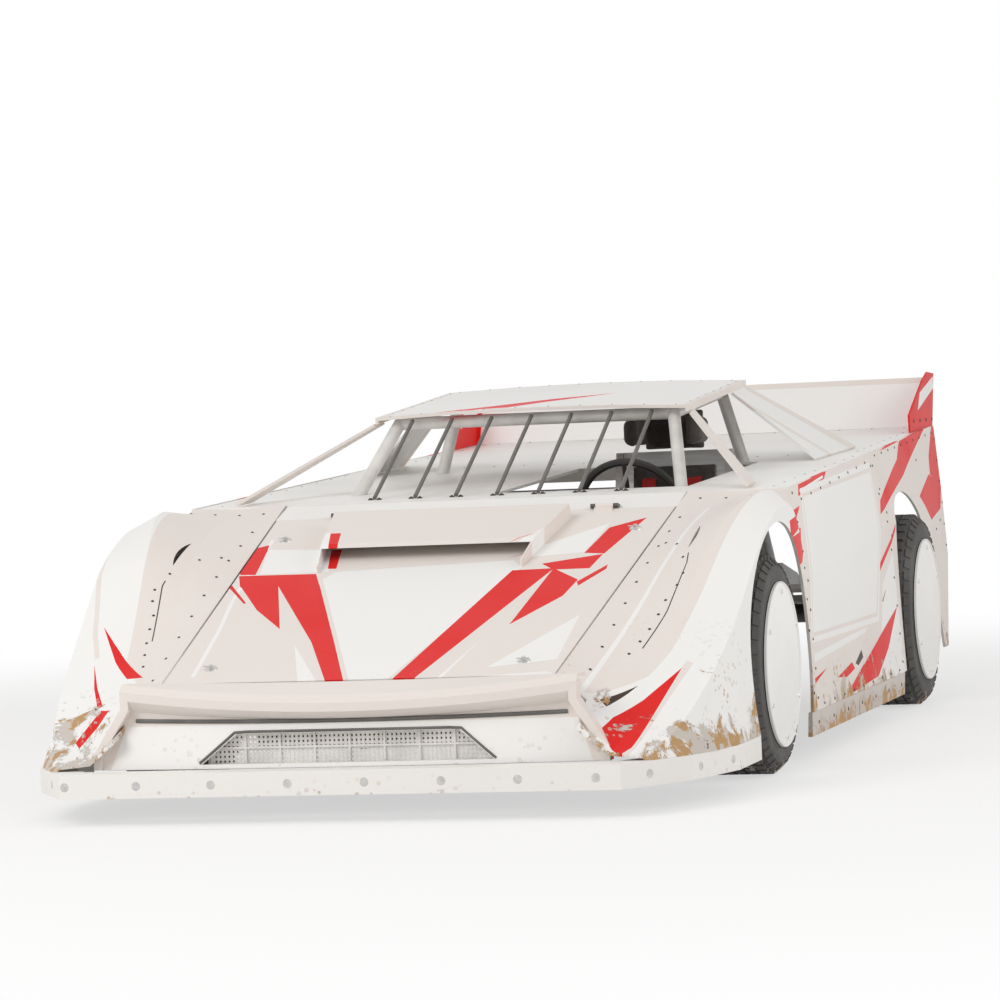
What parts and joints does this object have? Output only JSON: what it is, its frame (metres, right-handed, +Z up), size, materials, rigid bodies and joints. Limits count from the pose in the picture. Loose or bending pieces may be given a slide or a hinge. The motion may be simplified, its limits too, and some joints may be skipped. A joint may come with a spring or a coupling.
{
  "type": "dirt-track stock car",
  "caption": "Wedge-nosed dirt-track stock car with sheet panels over a tube frame, hinged hood, steered front wheels and a tail spoiler.",
  "frame": {"origin": "on the ground, at the middle of the car's length and width", "axes": "+X to the car's left (driver's side), +Y to the tail, +Z up; the nose points along -Y"},
  "size_m": [2.262, 5.2, 1.269],
  "materials": {
    "body_paint": "white and cream paint with red flashes",
    "deck_paint": "white sheet metal",
    "nose_plastic": "moulded white plastic",
    "splitter_plastic": "white wear strip, dirty",
    "inner_sheet": "plain cockpit sheet",
    "chassis_steel": "grey powder coat",
    "arm_steel": "dark grey coated steel",
    "axle_steel": "dull dark metal",
    "damper": "machined",
    "engine_metal": "plain block",
    "radiator_metal": "bare",
    "cell_plastic": "black",
    "seat_metal": "formed sheet",
    "padding": "dark padding",
    "dark_plastic": "dark grip",
    "wheel_metal": "bare, dirty",
    "mud_cover": "white plastic disc",
    "tyre": "dark grey rubber"
  },
  "bodies": {
    "chassis": {"cockpit_sheet": "inner_sheet", "cowl": "body_paint", "dampers": "damper", "dash": "inner_sheet", "doors": "body_paint", "drive_shaft": "axle_steel", "engine": "engine_metal", "exhaust": "axle_steel", "fenders": "body_paint", "fuel_cell": "cell_plastic", "headrest": "padding", "hood_hinges": "arm_steel", "intake_screen": "arm_steel", "interior_deck": "deck_paint", "main_frame": "chassis_steel", "nose": "nose_plastic", "nose_bar": "chassis_steel", "pedals": "arm_steel", "quarters": "body_paint", "radiator": "radiator_metal", "rear_axle": "axle_steel", "rear_deck": "deck_paint", "rockers": "splitter_plastic", "roll_cage": "chassis_steel", "roof": "body_paint", "sail_panels": "body_paint", "seat": "seat_metal", "shifter": "arm_steel", "splitter": "splitter_plastic", "spoiler": "body_paint", "steering_wheel": "dark_plastic", "suspension_arms": "arm_steel", "tail_panel": "body_paint", "windscreen_bars": "arm_steel", "windscreen_posts": "body_paint"},
    "hood": {"hood": "body_paint", "hood_scoop": "body_paint"},
    "knuckle_left": {"knuckle_left": "chassis_steel"},
    "knuckle_right": {"knuckle_right": "chassis_steel"},
    "wheel_front_left": {"tyre_front_left": "tyre", "wheel_front_left": "wheel_metal", "mud_cover_front_left": "mud_cover"},
    "wheel_front_right": {"tyre_front_right": "tyre", "wheel_front_right": "wheel_metal", "mud_cover_front_right": "mud_cover"},
    "wheel_rear_left": {"tyre_rear_left": "tyre", "wheel_rear_left": "wheel_metal", "mud_cover_rear_left": "mud_cover"},
    "wheel_rear_right": {"tyre_rear_right": "tyre", "wheel_rear_right": "wheel_metal", "mud_cover_rear_right": "mud_cover"}
  },
  "joints": [
    {"name": "hood_hinge", "type": "hinge", "parent": "chassis", "child": "hood", "pos_m": [0, -0.9665, 0.865], "axis": [-1, 0, 0], "range_deg": [0, 50]},
    {"name": "steer_left", "type": "hinge", "parent": "chassis", "child": "knuckle_left", "pos_m": [0.786, -1.31, 0.35], "axis": [0, 0, 1], "range_deg": [-28, 28]},
    {"name": "steer_right", "type": "hinge", "parent": "chassis", "child": "knuckle_right", "pos_m": [-0.786, -1.31, 0.35], "axis": [0, 0, 1], "range_deg": [-28, 28]},
    {"name": "roll_front_left", "type": "hinge", "parent": "knuckle_left", "child": "wheel_front_left", "pos_m": [0.95, -1.31, 0.35], "axis": [1, 0, 0], "continuous": true},
    {"name": "roll_front_right", "type": "hinge", "parent": "knuckle_right", "child": "wheel_front_right", "pos_m": [-0.95, -1.31, 0.35], "axis": [1, 0, 0], "continuous": true},
    {"name": "roll_rear_left", "type": "hinge", "parent": "chassis", "child": "wheel_rear_left", "pos_m": [0.95, 1.33, 0.36], "axis": [1, 0, 0], "continuous": true},
    {"name": "roll_rear_right", "type": "hinge", "parent": "chassis", "child": "wheel_rear_right", "pos_m": [-0.95, 1.33, 0.36], "axis": [1, 0, 0], "continuous": true}
  ],
  "couplings": [
    {"joint": "steer_right", "follows": "steer_left", "ratio": 1}
  ]
}
